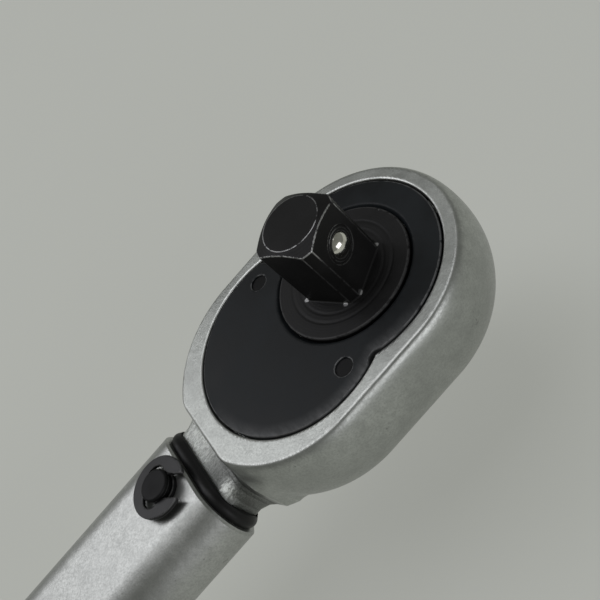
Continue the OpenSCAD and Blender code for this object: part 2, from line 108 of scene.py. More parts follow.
def surface(name, fn, lo, hi, h, reach=0.22):
    """Builds a mesh on the zero surface of fn (surface nets, then Newton steps onto the surface).
    The attribute "edge" is how the surface bends within reach: above 0 on edges, below 0 in corners."""
    lo = np.array(lo, float) - 1.6 * h
    n = [int(math.ceil((hi[i] + 1.6 * h - lo[i]) / h)) + 1 for i in range(3)]
    ax = [lo[i] + h * np.arange(n[i]) for i in range(3)]
    F = np.empty(n, np.float32)
    for i in range(0, n[0], 40):
        part = fn(ax[0][i:i + 40, None, None], ax[1][None, :, None], ax[2][None, None, :])
        F[i:i + 40] = np.broadcast_to(part, F[i:i + 40].shape)
    S = F < 0
    c = sum(S[a:n[0] - 1 + a, b:n[1] - 1 + b, d:n[2] - 1 + d].astype(np.int8)
            for a in (0, 1) for b in (0, 1) for d in (0, 1))
    active = (c > 0) & (c < 8)
    idx = np.full(active.shape, -1, np.int64)
    cells = np.argwhere(active)
    idx[active] = np.arange(len(cells))
    acc, cnt = np.zeros((len(cells), 3)), np.zeros(len(cells))
    corners = [(a, b, d) for a in (0, 1) for b in (0, 1) for d in (0, 1)]
    for p in corners:
        for axis in range(3):
            if p[axis]:
                continue
            q = tuple(1 if i == axis else p[i] for i in range(3))
            fa = F[cells[:, 0] + p[0], cells[:, 1] + p[1], cells[:, 2] + p[2]]
            fb = F[cells[:, 0] + q[0], cells[:, 1] + q[1], cells[:, 2] + q[2]]
            cross = (fa < 0) != (fb < 0)
            t = fa[cross] / (fa[cross] - fb[cross])
            pt = cells[cross] + np.array(p, float)
            pt[:, axis] += t
            acc[cross] += pt
            cnt[cross] += 1
    P = lo + h * acc / cnt[:, None]

    def grad(P, e):
        g = np.empty_like(P)
        for i in range(3):
            a, b = P.copy(), P.copy()
            a[:, i] += e
            b[:, i] -= e
            g[:, i] = (fn(*a.T) - fn(*b.T)) / (2 * e)
        return g
    for _ in range(NEWTON_STEPS):
        g = grad(P, 0.02)
        f = fn(*P.T)
        step = f / np.maximum((g * g).sum(1), 0.05)
        size = np.abs(step) * np.sqrt((g * g).sum(1))
        step *= np.minimum(1, 0.6 * h / np.maximum(size, 1e-9))
        P -= step[:, None] * g
    quads = []
    for axis in range(3):
        u, v = (axis + 1) % 3, (axis + 2) % 3
        s0 = [slice(1, -1)] * 3
        s1 = [slice(1, -1)] * 3
        s0[axis], s1[axis] = slice(0, -1), slice(1, None)
        A, B = S[tuple(s0)], S[tuple(s1)]
        e = np.argwhere(A != B)
        first = A[tuple(e.T)]
        e = e + 1
        e[:, axis] -= 1
        ring = []
        for du, dv in ((-1, -1), (0, -1), (0, 0), (-1, 0)):
            k = e.copy()
            k[:, u] += du
            k[:, v] += dv
            ring.append(idx[tuple(k.T)])
        q = np.stack(ring, 1)
        q[~first] = q[~first][:, ::-1]
        quads.append(q)
    Q = np.concatenate(quads)
    N = grad(P, 0.04)
    N /= np.maximum(np.linalg.norm(N, axis=1), 1e-9)[:, None]
    lap = -6 * fn(*P.T)
    for i in range(3):
        for shift in (-reach, reach):
            a = P.copy()
            a[:, i] += shift
            lap = lap + fn(*a.T)
    return make_mesh(name, P, Q, N, np.clip(lap / (reach * reach) * 0.25, -1, 1))


def make_mesh(name, P, Q, N=None, edge=None, smooth=None):
    me = bpy.data.meshes.new(name)
    P = np.asarray(P, float) * MM
    Q = np.asarray(Q)
    me.vertices.add(len(P))
    me.vertices.foreach_set("co", P.astype(np.float32).ravel())
    me.loops.add(Q.size)
    me.loops.foreach_set("vertex_index", Q.astype(np.int32).ravel())
    me.polygons.add(len(Q))
    me.polygons.foreach_set("loop_start", np.arange(0, Q.size, Q.shape[1], dtype=np.int32))
    me.update(calc_edges=True)
    me.validate()
    me.shade_smooth()
    if edge is not None:
        add_attribute(me, "edge", edge)
    if N is not None:
        me.normals_split_custom_set_from_vertices([tuple(n) for n in N.astype(float)])
    if smooth is not None:
        me.set_sharp_from_angle(angle=math.radians(smooth))
    ob = bpy.data.objects.new(name, me)
    bpy.context.collection.objects.link(ob)
    return ob


def add_attribute(mesh, name, values):
    a = mesh.attributes.new(name, "FLOAT", "POINT")
    a.data.foreach_set("value", np.asarray(values, np.float32))


def points(ob):
    co = np.empty(len(ob.data.vertices) * 3, np.float32)
    ob.data.vertices.foreach_get("co", co)
    return co.reshape(-1, 3).astype(float) / MM


# ------------------------------------------------------------------ the head and what sits in it


def recess(x, y, extra):
    """Outline of the cover plate, two circles, grown by extra."""
    return np.minimum(hyp(x, y) - PLATE_R, hyp(x - PLATE_REAR_X, y) - PLATE_REAR_R) - extra


def ellipse(u, v, a, b, flat):
    """Distance to an ellipse's quarter for u > 0, and flat elsewhere."""
    q = hyp(u / a, v / b)
    g = hyp(u / a ** 2, v / b ** 2)
    return np.where(u > 0, q * (q - 1) / np.maximum(g, 1e-6), flat)


def head_shell(x, y, z):
    """The head's outside: its wall bulges as a narrow ellipse above the waist and as a wide one below it."""
    px = np.clip(x, -HEAD_BACK, 0)
    off = hyp(x - px, y) - HEAD_R
    zc = z + WAIST
    top = ellipse(off, zc, 2.2, WAIST, z)
    low = ellipse(off + 8.2, zc, 10.4, HEAD_T - WAIST, -HEAD_T - z)
    return np.where(zc > 0, top, low)


def head_field(x, y, z):
    d = smax(head_shell(x, y, z), -HEAD_REAR - x, 0.8)
    lever = hyp(x - LEVER_X, y)
    boss = smax(lever - 7.6, -HEAD_T - z, 0.5)
    d = smin(d, np.maximum(boss, z + 14), 1.2)
    wide = np.interp(x, FLARE_X, (0, 0.7, 1.5, 2.8, 4.0))
    up = np.interp(x, FLARE_X, (0, 0.1, 0.4, 1.2, 1.6))
    down = np.interp(x, FLARE_X, (0, 0.3, 1.0, 1.8, 2.0))
    mid = AXIS_Z + (up - down) / 2
    neck = round_box(y, z - mid, NECK_Y + wide, NECK_Z + (up + down) / 2, 3.0)
    neck = np.maximum(neck, np.maximum(x + 34, -60.5 - x))
    d = smin(d, neck, 1.6)
    tail = np.maximum(round_box(y, z - AXIS_Z, 7, 5.2, 0.6), np.maximum(x + 55, -101 - x))
    d = np.minimum(d, tail)
    cut = np.maximum(recess(x, y, 0.35), -PLATE_T - z)
    d = smax(d, -cut, 0.42)
    pocket = np.minimum(np.minimum(hyp(x, y) - 16.6, hyp(x + 19, y) - 13.4), lever - 5.3)
    d = np.maximum(d, -np.maximum(pocket, -13.2 - z))
    d = np.maximum(d, -np.maximum(hyp(x, y) - 9.05, -18.6 - z))
    d = smax(d, -np.maximum(lever - 4.08, z + 13), 0.2)
    d = np.maximum(d, -np.maximum(hyp(x - PAWL_X, y) - 1.63, -17 - z))
    w = hyp(x - SCREW_X, np.abs(y) - SCREW_Y)
    d = np.maximum(d, 1.85 - w)
    d = smax(d, -np.maximum(w - 3.3, z + 19), 0.3)
    d = np.maximum(d, 3.22 - hyp(x - PIN_X, y))
    seat = np.maximum(np.maximum(np.abs(y) - 3.9, np.abs(z - AXIS_Z) - 4.1), x + 99.97)
    return np.maximum(d, -seat)


def plate_field(x, y, z):
    flat = recess(x, y, 0.0)
    flat = smax(flat, 1.55 - hyp(x + 7.3, np.abs(y) - 19.9), 0.5)
    d = smax(smax(flat, z, 0.3), -PLATE_T - z, 0.2)
    bore = 14.03 + np.clip(z + 0.9, 0, 1) * 0.75
    d = smax(d, bore - hyp(x, y), 0.25)
    return smax(d, 1.75 - hyp(x - SCREW_X, np.abs(y) - SCREW_Y), 0.2)


def gear_field(x, y, z):
    r = hyp(x, y)
    ang = np.abs(((np.degrees(np.arctan2(y, x)) + 5) % 10) - 5)
    tooth = 16.3 - np.clip((ang - 1) / 3.1, 0, 1) * 1.1
    gear = smax(smax((r - tooth) * 0.7, z + 2.6, 0.2), -13.0 - z, 0.2)
    return np.minimum(gear, smax(np.maximum(r - 8.88, z + 5), -18.4 - z, 0.3))


def drive_field(x, y, z):
    r = hyp(x, y)
    u, v = turned(x, y, DRIVE_TURN)
    ring = 0.06 * np.exp(-((r - 10.7) / 0.3) ** 2) + 0.05 * np.exp(-((r - 8.95) / 0.28) ** 2)
    collar = smax(smax(r - COLLAR_R, z - 0.2 + ring, 0.35), -3.6 - z, 0.2)
    sq = smax(np.abs(u) - SQUARE, np.abs(v) - SQUARE, 0.12)
    sq = smax(sq, r - CORNER_R, 0.08)
    sq = smax(sq, (r - CORNER_R) * 0.4256 + (z - 15.33) * 0.9049, 0.1)
    sq = smax(sq, z - SQUARE_TOP, 0.05)
    sq = np.maximum(sq, -2 - z)
    d = smin(collar, sq, 0.35)
    rho = hyp(v, z - BALL_Z)
    hole = np.maximum(rho - (2.56 - np.clip(u - 5.35, 0, 1) * 0.29), -2.4 - u)
    d = smax(d, -hole, 0.16)
    stake = np.maximum(np.abs(rho - 3.2) - 0.16, 6.22 - u)
    return smax(d, -stake, 0.15)


def ball_field(x, y, z):
    u, v = turned(x, y, DRIVE_TURN)
    d = np.sqrt((u - BALL_OUT) ** 2 + v ** 2 + (z - BALL_Z) ** 2) - BALL_R
    return smax(d, u - 7.62, 0.12)


def stadium(y, z, half):
    return hyp(np.maximum(np.abs(y) - half, 0), z - AXIS_Z)


def seal_field(x, y, z):
    s = stadium(y, z, 6)
    bead = round_box(x + 46.25, s - 5.6, 1.05, 1.6, 1.0)
    lip = smax(smax(s - 6.5, x + 44.65, 0.5), -47.28 - x, 0.3)
    d = smin(bead, lip, 0.7)
    spigot = np.maximum(np.maximum(s - 6.05, x + 46), -49 - x)
    d = smin(d, spigot, 0.1)
    return smax(d, -round_box(y, z - AXIS_Z, NECK_Y + 0.3, NECK_Z + 0.3, 3.5), 0.3)


def pin_field(x, y, z):
    w = np.abs(z - AXIS_Z)
    r = hyp(x - PIN_X, y)
    d = smax(r - 3.15, w - 11.2, 0.55)
    dish = 0.12 * np.exp(-(r / 1.2) ** 2)
    d = np.maximum(d, w - 11.2 + dish)
    groove = np.maximum(np.abs(w - CLIP_W) - 0.53, 2.5 - r)
    return smax(d, -groove, 0.15)


def clip_field(x, y, z):
    w = np.abs(z - AXIS_Z)
    u, v = turned(x - PIN_X, y, CLIP_TURN)
    r = hyp(u, v)
    d = r - 6.1
    d = smax(d, 2.55 - r, 0.3)
    mouth = np.maximum(np.abs(v) - 2.2, -u)
    d = smax(d, -mouth, 0.5)
    for a in (115, -115):
        p, q = turned(u, v, math.radians(a))
        slot = np.maximum(hyp(p - 2.2, q) - 2.1, 0.8 - hyp(p + 0.8, q))
        d = smax(d, -slot, 0.35)
    return smax(d, np.abs(w - CLIP_W) - 0.5, 0.3)


def lever_field(x, y, z):
    u, v = turned(x - LEVER_X, y, LEVER_TURN)
    d = smax(smax(hyp(u, v) - 4, z + 3.9, 0.3), -23 - z, 0.3)
    disc = hyp(u, v) - 7
    arm = hyp(u - np.clip(u, -15.5, -2), v) - (3.6 + np.clip(u + 15.5, 0, 15.5) * 0.13)
    plan = smin(disc, arm, 3.0)
    rise = 0.5 * np.clip((-u - 8) / 8, 0, 1) ** 2
    ridge = 0.55 * np.clip(np.cos((u + 14.2) * 2 * math.pi / 2.2) * 2.0, 0, 1) * (np.abs(v) < 2.7) \
        * (u < -10.6) * (u > -17.9)
    body = smax(smax(plan, z + 22.0, 0.5), -24.75 - rise - ridge - z, 0.9)
    d = smin(d, body, 0.4)
    groove = np.maximum(np.abs(z + 12.65) - 0.5, 3.3 - hyp(u, v))
    d = np.maximum(d, -groove)
    hole = np.maximum(hyp(v, z + 8.5) - 1.05, -3.0 - u)
    return smax(d, -hole, 0.15)


# ------------------------------------------------------------------ tube, grip and knob


def lattice(n, k, closed=False):
    """Quads between n rings of k points each, and between the last and the first ring if closed."""
    i, j = np.meshgrid(np.arange(n if closed else n - 1), np.arange(k), indexing="ij")
    i2, j2 = (i + 1) % n, (j + 1) % k
    return np.stack([i * k + j, i * k + j2, i2 * k + j2, i2 * k + j], -1).reshape(-1, 4)


def ring_mesh(name, rings, smooth=35):
    """Closed tube of rings (each an array of points the same length), joined end to end in order."""
    return make_mesh(name, np.concatenate(rings), lattice(len(rings), len(rings[0]), True), smooth=smooth)


def tube_ring(x, inset, k=208):
    """Section of the tube at x: an oval with flat sides at the front, which blends into a circle."""
    a = 2 * math.pi * np.arange(k) / k
    c, s = np.abs(np.cos(a)), np.sin(a)
    t = min(max((-x - 100) / 18, 0), 1)
    t = t * t * (3 - 2 * t)
    half, r, round_r = 6, 8.1 - inset, TUBE_R - inset
    flat = r / np.maximum(np.abs(s), 1e-6)
    arc = half * c + np.sqrt(np.maximum(r * r - half * half * s * s, 0))
    rho = np.where(flat * c <= half, flat, arc)
    rho = rho + (round_r - rho) * t
    return np.stack([np.full(k, x), rho * np.cos(a), AXIS_Z + rho * s], 1)


def lathe(name, profile, k=192, bump=None, smooth=35):
    """Closed ring of (x, r) points turned about the wrench's centre line; bump(x, angle, r) moves r."""
    a = 2 * math.pi * np.arange(k) / k
    rings = []
    for x, r in profile:
        rr = np.full(k, float(r))
        if bump is not None:
            rr = rr + bump(x, a, r)
        rings.append(np.stack([np.full(k, x), rr * np.cos(a), AXIS_Z + rr * np.sin(a)], 1))
    return ring_mesh(name, rings[::-1], smooth)


def span(x0, x1, step):
    n = max(int(abs(x1 - x0) / step), 1)
    return [x0 + (x1 - x0) * i / n for i in range(n + 1)]


def show(ob, body, material, slot, *nodes):
    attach(ob, body)
    if nodes:
        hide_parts(*nodes)
    ob.data.materials.clear()
    ob.data.materials.append(material)
    return ob


# ------------------------------------------------------------------ materials


class Nodes:
    """One material's node tree, with short names for the nodes used here. Positions are in metres."""

    def __init__(self, name):
        self.mat = bpy.data.materials.new(name)
        self.mat.use_nodes = True
        self.t = self.mat.node_tree
        self.t.nodes.clear()
        self.out = self.t.nodes.new("ShaderNodeOutputMaterial")
        self.bsdf = self.t.nodes.new("ShaderNodeBsdfPrincipled")
        self.t.links.new(self.bsdf.outputs[0], self.out.inputs[0])
        self.coord = self.t.nodes.new("ShaderNodeTexCoord").outputs["Object"]

    def put(self, socket, value):
        if hasattr(value, "is_output") or isinstance(value, bpy.types.NodeSocket):
            self.t.links.new(value, socket)
        else:
            socket.default_value = value

    def noise(self, scale, detail=3, rough=0.55, stretch=None, offset=0.0):
        n = self.t.nodes.new("ShaderNodeTexNoise")
        n.inputs["Scale"].default_value = scale
        n.inputs["Detail"].default_value = detail
        n.inputs["Roughness"].default_value = rough
        src = self.coord
        if stretch or offset:
            m = self.t.nodes.new("ShaderNodeMapping")
            m.inputs["Scale"].default_value = stretch or (1, 1, 1)
            m.inputs["Location"].default_value = (offset, offset * 0.7, offset * 1.3)
            self.t.links.new(src, m.inputs[0])
            src = m.outputs[0]
        self.t.links.new(src, n.inputs["Vector"])
        return n.outputs[0]

    def voronoi(self, scale):
        n = self.t.nodes.new("ShaderNodeTexVoronoi")
        n.inputs["Scale"].default_value = scale
        self.t.links.new(self.coord, n.inputs["Vector"])
        return n.outputs["Distance"]

    def ramp(self, value, lo, hi, a=0.0, b=1.0):
        n = self.t.nodes.new("ShaderNodeMapRange")
        n.interpolation_type = "SMOOTHSTEP"
        self.put(n.inputs["Value"], value)
        for key, v in (("From Min", lo), ("From Max", hi), ("To Min", a), ("To Max", b)):
            n.inputs[key].default_value = v
        return n.outputs[0]

    def math(self, op, a, b=0.0):
        n = self.t.nodes.new("ShaderNodeMath")
        n.operation = op
        for s, v in zip(n.inputs, (a, b)):
            self.put(s, v)
        return n.outputs[0]

    def distance(self, a, b):
        n = self.t.nodes.new("ShaderNodeVectorMath")
        n.operation = "DISTANCE"
        self.put(n.inputs[0], a)
        self.put(n.inputs[1], b)
        return n.outputs["Value"]

    def mix(self, fac, a, b):
        n = self.t.nodes.new("ShaderNodeMix")
        n.data_type = "RGBA"
        self.put(n.inputs[0], fac)
        self.put(n.inputs[6], (*a, 1) if isinstance(a, tuple) else a)
        self.put(n.inputs[7], (*b, 1) if isinstance(b, tuple) else b)
        return n.outputs[2]

    def attr(self, name):
        n = self.t.nodes.new("ShaderNodeAttribute")
        n.attribute_name = name
        return n.outputs["Fac"]

    def xyz(self):
        n = self.t.nodes.new("ShaderNodeSeparateXYZ")
        self.t.links.new(self.coord, n.inputs[0])
        return n.outputs

    def bump(self, height, strength, distance, under=None):
        n = self.t.nodes.new("ShaderNodeBump")
        n.inputs["Strength"].default_value = strength
        n.inputs["Distance"].default_value = distance
        self.put(n.inputs["Height"], height)
        if under is not None:
            self.t.links.new(under, n.inputs["Normal"])
        return n.outputs[0]

    def finish(self, color, metallic, rough, normal=None, **more):
        self.put(self.bsdf.inputs["Base Color"], (*color, 1) if isinstance(color, tuple) else color)
        self.put(self.bsdf.inputs["Metallic"], metallic)
        self.put(self.bsdf.inputs["Roughness"], rough)
        if normal is not None:
            self.put(self.bsdf.inputs["Normal"], normal)
        for k, v in more.items():
            self.put(self.bsdf.inputs[k.replace("_", " ")], v)
        return self.mat


def satin_steel(name, tone=(0.47, 0.485, 0.46), rough=0.33, forging_skin_and_light=False):
    """Fine-blasted chrome steel: grain, cloudy tone, small dark scuffs, painted shade in corners, painted
    highlight on thin edges.
    With the last flag set, the neck has the coarse skin of the forging, a painted light along its upper side,
    painted shade towards -y and one painted highlight near the head's rear corner."""
    n = Nodes(name)
    shade = lambda k: tuple(min(v * k, 1) for v in tone)
    cloud = n.noise(60, 4, 0.6)
    mottle = n.noise(420, 5, 0.7, offset=3.1)
    grain = n.noise(2600, 3, 0.7)
    col = n.mix(n.ramp(cloud, 0.35, 0.65), shade(0.86), shade(1.08))
    col = n.mix(n.ramp(mottle, 0.35, 0.7, 0, 0.45), col, shade(0.62))
    col = n.mix(n.ramp(grain, 0.38, 0.68, 0.0, 0.5), col, shade(0.6))
    scuff = n.noise(900, 5, 0.75, stretch=(1, 2.0, 1), offset=1.7)
    patch = n.noise(75, 3, 0.5, offset=7.7)
    marks = n.math("MULTIPLY", n.ramp(scuff, 0.55, 0.66), n.ramp(patch, 0.6, 0.72))
    pitted = n.ramp(n.noise(160, 2, offset=9), 0.55, 0.65)
    pits = n.math("MULTIPLY", n.ramp(n.voronoi(700), 0.16, 0.1), pitted)
    marks = n.math("MAXIMUM", marks, n.math("MULTIPLY", pits, 0.6))
    col = n.mix(n.math("MULTIPLY", marks, 0.6), col, (0.1, 0.1, 0.095))
    matt = n.ramp(cloud, 0.3, 0.7, rough - 0.04, rough + 0.06)
    r = n.math("ADD", matt, n.ramp(grain, 0.3, 0.7, 0, 0.08))
    b = n.bump(grain, 0.35, 0.00006)
    b = n.bump(mottle, 0.25, 0.0002, b)
    edge = n.attr("edge")
    # painted shade: concave corners and creases are darkened, unevenly by the mottle
    corner_shade = n.math("MULTIPLY", n.ramp(edge, -0.05, -0.28), n.ramp(mottle, 0.3, 0.5, 0.6, 1))
    col = n.mix(n.math("MULTIPLY", corner_shade, 0.8), col, (0.06, 0.06, 0.055))
    # painted highlight: the sharp edges are lightened, ragged by noise
    wear_and_highlight = n.math("MULTIPLY", n.ramp(edge, 0.1, 0.4), n.ramp(n.noise(300, 3), 0.3, 0.55, 0.35, 1))
    col = n.mix(n.math("MULTIPLY", wear_and_highlight, 0.5), col, (0.75, 0.76, 0.74))
    if forging_skin_and_light:
        x, y, z = n.xyz()
        zone = n.math("MULTIPLY", n.ramp(x, -0.0398, -0.0412), n.ramp(x, -0.049, -0.047))
        skin = n.noise(3000, 4, 0.65, stretch=(0.4, 1, 1), offset=0.9)
        b = n.bump(n.math("MULTIPLY", skin, zone), 0.9, 0.00022, b)
        # painted light: the neck's upper side is lightened
        lit = n.math("MULTIPLY", n.ramp(z, -0.0095, -0.0065, -0.25, 1), n.ramp(skin, 0.4, 0.6))
        col = n.mix(n.math("MULTIPLY", zone, lit), col, shade(1.4))
        # painted shade: the neck's -y side is darkened
        near_side_shade = n.math("MULTIPLY", n.ramp(y, 0.004, -0.006, 0, 0.8), n.ramp(x, -0.0385, -0.041))
        col = n.mix(n.math("MULTIPLY", near_side_shade, n.ramp(x, -0.049, -0.0475)), col, shade(0.25))
        # painted highlight: a ragged bright spot near the head's rear corner
        ragged = n.ramp(skin, 0.3, 0.7, -0.0006, 0.0006)
        highlight_spot = n.math("ADD", n.distance(n.coord, PAINTED_HIGHLIGHT_AT), ragged)
        col = n.mix(n.ramp(highlight_spot, 0.0022, 0.0008, 0, 0.85), col, shade(1.7))
    return n.finish(col, 0.92, r, b)


def black_oxide(name, tint, rough, gloss, wear, tip=False, rim=False):
    """Blackened steel: dark with a cloudy sheen, bare metal on sharp edges and in a few specks.
    wear is where bare edges begin, where they are full, and how bare they get. tip bares the square's end and
    puts burrs at its foot, and rim greys the edge named by the attribute "rim"."""
    n = Nodes(name)
    x = n.xyz()
    cloud = n.noise(90, 4, 0.6)
    col = n.mix(n.ramp(cloud, 0.35, 0.7), tint, tuple(v * 1.9 for v in tint))
    ragged = n.noise(700, 4, 0.65)
    begins, full, amount = wear
    # here the edges are bare metal worn through the black
    wear_and_highlight = n.math("MULTIPLY", n.ramp(n.attr("edge"), begins, full), n.ramp(ragged, 0.36, 0.52))
    wear_and_highlight = n.math("MULTIPLY", wear_and_highlight, amount)
    if tip:
        wear_and_highlight = n.math("MULTIPLY", wear_and_highlight, n.ramp(x[2], 0.0115, 0.0138, 0.08, 1.0))
        for at in BURRS:
            off = n.distance(n.coord, at)
            near = n.math("ADD", off, n.math("MULTIPLY", n.noise(2500, 2), 0.0004))
            wear_and_highlight = n.math("MAXIMUM", wear_and_highlight, n.ramp(near, 0.00080, 0.00055, 0, 0.7))
    speckled = n.ramp(n.noise(90, 1, offset=5), 0.58, 0.62)
    specks = n.math("MULTIPLY", n.ramp(n.voronoi(260), 0.055, 0.03), speckled)
    bare = n.math("MAXIMUM", wear_and_highlight, n.math("MULTIPLY", specks, 0.25))
    if rim:
        scratch = n.noise(900, 4, 0.7, stretch=(1, 0.35, 1), offset=2.2)
        band = n.math("MULTIPLY", n.attr("rim"), n.ramp(scratch, 0.3, 0.7, 0.45, 1.0))
        bare = n.math("MAXIMUM", bare, n.math("MULTIPLY", band, 0.2))
    col = n.mix(bare, col, (0.5, 0.5, 0.5))
    matt = n.ramp(cloud, 0.3, 0.7, rough, rough + 0.12)
    r = n.math("SUBTRACT", matt, n.math("MULTIPLY", bare, 0.08))
    b = n.bump(n.noise(2600, 2, 0.6), 0.2, 0.00004)
    if tip:
        square = n.math("ADD", n.math("MULTIPLY", x[0], x[0]), n.math("MULTIPLY", x[1], x[1]))
        wave = n.math("SINE", n.math("MULTIPLY", n.math("SQRT", square), 2 * math.pi / TURNING_PITCH))
        b = n.bump(wave, 0.05, 0.00004, b)
    return n.finish(col, n.ramp(bare, 0, 0.5), r, b, Specular_IOR_Level=gloss)


def bright_steel(name, tone=(0.52, 0.52, 0.5), rough=0.3):
    """Plain machined metal with cloudy tone and a little brown staining."""
    n = Nodes(name)
    line = n.noise(900, 3, 0.6)
    cloud = n.noise(70, 3)
    col = n.mix(n.ramp(cloud, 0.3, 0.7), tuple(v * 0.8 for v in tone), tone)
    col = n.mix(n.ramp(n.noise(240, 4, 0.7, offset=4), 0.6, 0.75, 0, 0.5), col, (0.2, 0.17, 0.13))
    matt = n.ramp(line, 0.3, 0.7, rough - 0.06, rough + 0.12)
    return n.finish(col, 1.0, matt, n.bump(line, 0.2, 0.00008))


def rubber(name):
    """Black rubber, slightly uneven, with some dust."""
    n = Nodes(name)
    dust = n.ramp(n.noise(150, 5, 0.65), 0.45, 0.8)
    col = n.mix(n.math("MULTIPLY", dust, 0.12), (0.0045, 0.0045, 0.0045), (0.07, 0.07, 0.065))
    b = n.bump(n.noise(1500, 3, 0.6), 0.3, 0.00008)
    b = n.bump(n.noise(180, 3), 0.25, 0.0003, b)
    matt = n.ramp(n.noise(120, 3, offset=2), 0.3, 0.7, 0.38, 0.6)
    return n.finish(col, 0.0, matt, b, Specular_IOR_Level=0.27)


def chrome_ball(name):
    """Polished ball steel with faint tarnish."""
    n = Nodes(name)
    col = n.mix(n.ramp(n.noise(700, 3), 0.45, 0.7, 0, 0.5), (0.75, 0.74, 0.68), (0.45, 0.43, 0.37))
    matt = n.ramp(n.noise(500, 3), 0.3, 0.7, 0.08, 0.2)
    return n.finish(col, 1.0, matt, n.bump(n.noise(900, 2), 0.06, 0.0001))


BURRS = [tuple(v * MM for v in p)
         for p in ((-8.1, 1.6, 0.2), (-4.0, -6.6, 0.2), (-0.75, -7.55, 0.5), (7.6, -2.5, 0.2))]
# where the painted highlight on the neck sits, in metres
PAINTED_HIGHLIGHT_AT = (-0.0432, -0.0088, -0.0066)
TURNING_PITCH = 0.00055
HEAD_STEEL = satin_steel("head_steel", forging_skin_and_light=True)
TUBE_STEEL = satin_steel("tube_steel", (0.5, 0.51, 0.49), 0.33)
PLATE_BLACK = black_oxide("plate_black", (0.0055, 0.0068, 0.0078), 0.4, 0.2, (0.4, 0.8, 0.25), rim=True)
DRIVE_BLACK = black_oxide("drive_black", (0.0055, 0.0053, 0.0054), 0.42, 0.22, (0.2, 0.5, 0.8), tip=True)
PIN_BLACK = black_oxide("pin_black", (0.004, 0.004, 0.0042), 0.4, 0.14, (0.45, 0.9, 0.15))
CLIP_BLACK = black_oxide("clip_black", (0.007, 0.007, 0.0072), 0.36, 0.34, (0.45, 0.9, 0.2))
BRIGHT = bright_steel("bright_steel")
SPRING = bright_steel("spring_steel", (0.3, 0.3, 0.3), 0.35)
BRASS = bright_steel("nut_brass", (0.6, 0.44, 0.2), 0.3)
RUBBER = rubber("seal_rubber")
BALL = chrome_ball("ball_chrome")

# ------------------------------------------------------------------ build

show(surface("head_forging", head_field, (-101, -24.9, -21.9), (24.9, 24.9, 0.1), 0.36),
     "head", HEAD_STEEL, "head_steel", "ratchet_head")
plate = show(surface("cover_disc", plate_field, (-35.2, -20.4, -2.6), (20.1, 20.4, 0.1), 0.3),
             "head", PLATE_BLACK, "black_oxide", "cover_plate")
P = points(plate)
rim = np.clip(1 - (-recess(P[:, 0], P[:, 1], 0.0)) / 2.6, 0, 1) ** 1.3 \
    * np.clip((-P[:, 1] + 2) / 10, 0, 1) * np.clip((6 - P[:, 0]) / 10, 0, 1)
add_attribute(plate.data, "rim", rim)
show(surface("drive_gear", gear_field, (-16.5, -16.5, -18.7), (16.5, 16.5, -2.5), 0.3), "anvil", BRIGHT,
     "black_oxide", "drive_anvil")
show(surface("drive_square", drive_field, (-14.1, -14.1, -3.7), (14.1, 14.1, 16.6), 0.15, reach=0.1),
     "anvil", DRIVE_BLACK, "black_oxide", "drive_anvil")
show(surface("ball_bearing", ball_field, (-1, -8, 6.5), (6, 0, 12.5), 0.16), "ball", BALL, "ball_chrome",
     "detent_ball")
show(surface("seal_ring", seal_field, (-49.2, -13.7, -18.4), (-44.5, 13.7, -3.4), 0.22), "tube", RUBBER,
     "seal_rubber", "neck_seal")
show(surface("cross_pin", pin_field, (-55.8, -3.3, -22.3), (-49.2, 3.3, 0.5), 0.2), "tube", PIN_BLACK,
     "black_oxide", "pivot_pin")
show(surface("spring_clips", clip_field, (-58.7, -6.3, -21.2), (-46.3, 6.3, -0.6), 0.17), "tube", CLIP_BLACK,
     "black_oxide", "pin_clips")
show(surface("thumb_lever", lever_field, (-48.5, -7.3, -26.2), (-21.7, 13.5, -3.8), 0.26), "lever", PIN_BLACK,
     "black_oxide", "reverse_lever")

TUBE_WALL, FRONT_BEVEL, PIN_HOLE_R, CUTTER = 2.0, 0.45, 3.17, 60
xs = [TUBE_FRONT, -47.75, -48] + span(-50, -384.4, 2.2) + [TUBE_REAR]
outer = [tube_ring(x, FRONT_BEVEL if i == 0 else 0) for i, x in enumerate(xs)]
inner = [tube_ring(x, TUBE_WALL) for x in [TUBE_REAR] + span(-384, -48, 3.0) + [TUBE_FRONT]]
tube = ring_mesh("tube_body", outer + inner, 30)
hole = lathe("hole_cutter", [(0, 0.001), (0, PIN_HOLE_R), (CUTTER, PIN_HOLE_R), (CUTTER, 0.001)], 96)
hole.matrix_world = Matrix.Translation((PIN_X * MM, 0, 0.02)) @ Matrix.Rotation(math.radians(90), 4, "Y") \
    @ Matrix.Translation((0, 0, -AXIS_Z * MM))
m = tube.modifiers.new("hole", "BOOLEAN")
m.object = hole
m.solver = "EXACT"
bpy.context.view_layer.update()
done = bpy.data.meshes.new_from_object(tube.evaluated_get(bpy.context.evaluated_depsgraph_get()))
tube.modifiers.clear()
tube.data = done
bpy.data.objects.remove(hole)
show(tube, "tube", TUBE_STEEL, "tube_chrome", "tube")

GRIP_R, GRIP_BORE, KNURL_FRONT, KNURL_REAR = 15.5, 12.06, -327.5, -420.5
KNURL_PITCH, KNURL_DEPTH = 1.55 * 1.15, 0.42


def diamond(x, a, r):
    """Crossed grooves round the outside of the grip, which fade out at both ends."""
    if r < 13 or not (KNURL_REAR < x < KNURL_FRONT):
        return np.zeros_like(a)
    turns = round(2 * math.pi * GRIP_R / KNURL_PITCH)
    s = turns * a / (2 * math.pi)
    t = x / KNURL_PITCH
    p = np.abs(((s + t) % 1) - 0.5) * 2
    q = np.abs(((s - t) % 1) - 0.5) * 2
    fade = min(1, KNURL_FRONT - x, x - KNURL_REAR)
    return -KNURL_DEPTH * np.clip(np.maximum(p, q) * 1.25 - 0.25, 0, 1) * fade


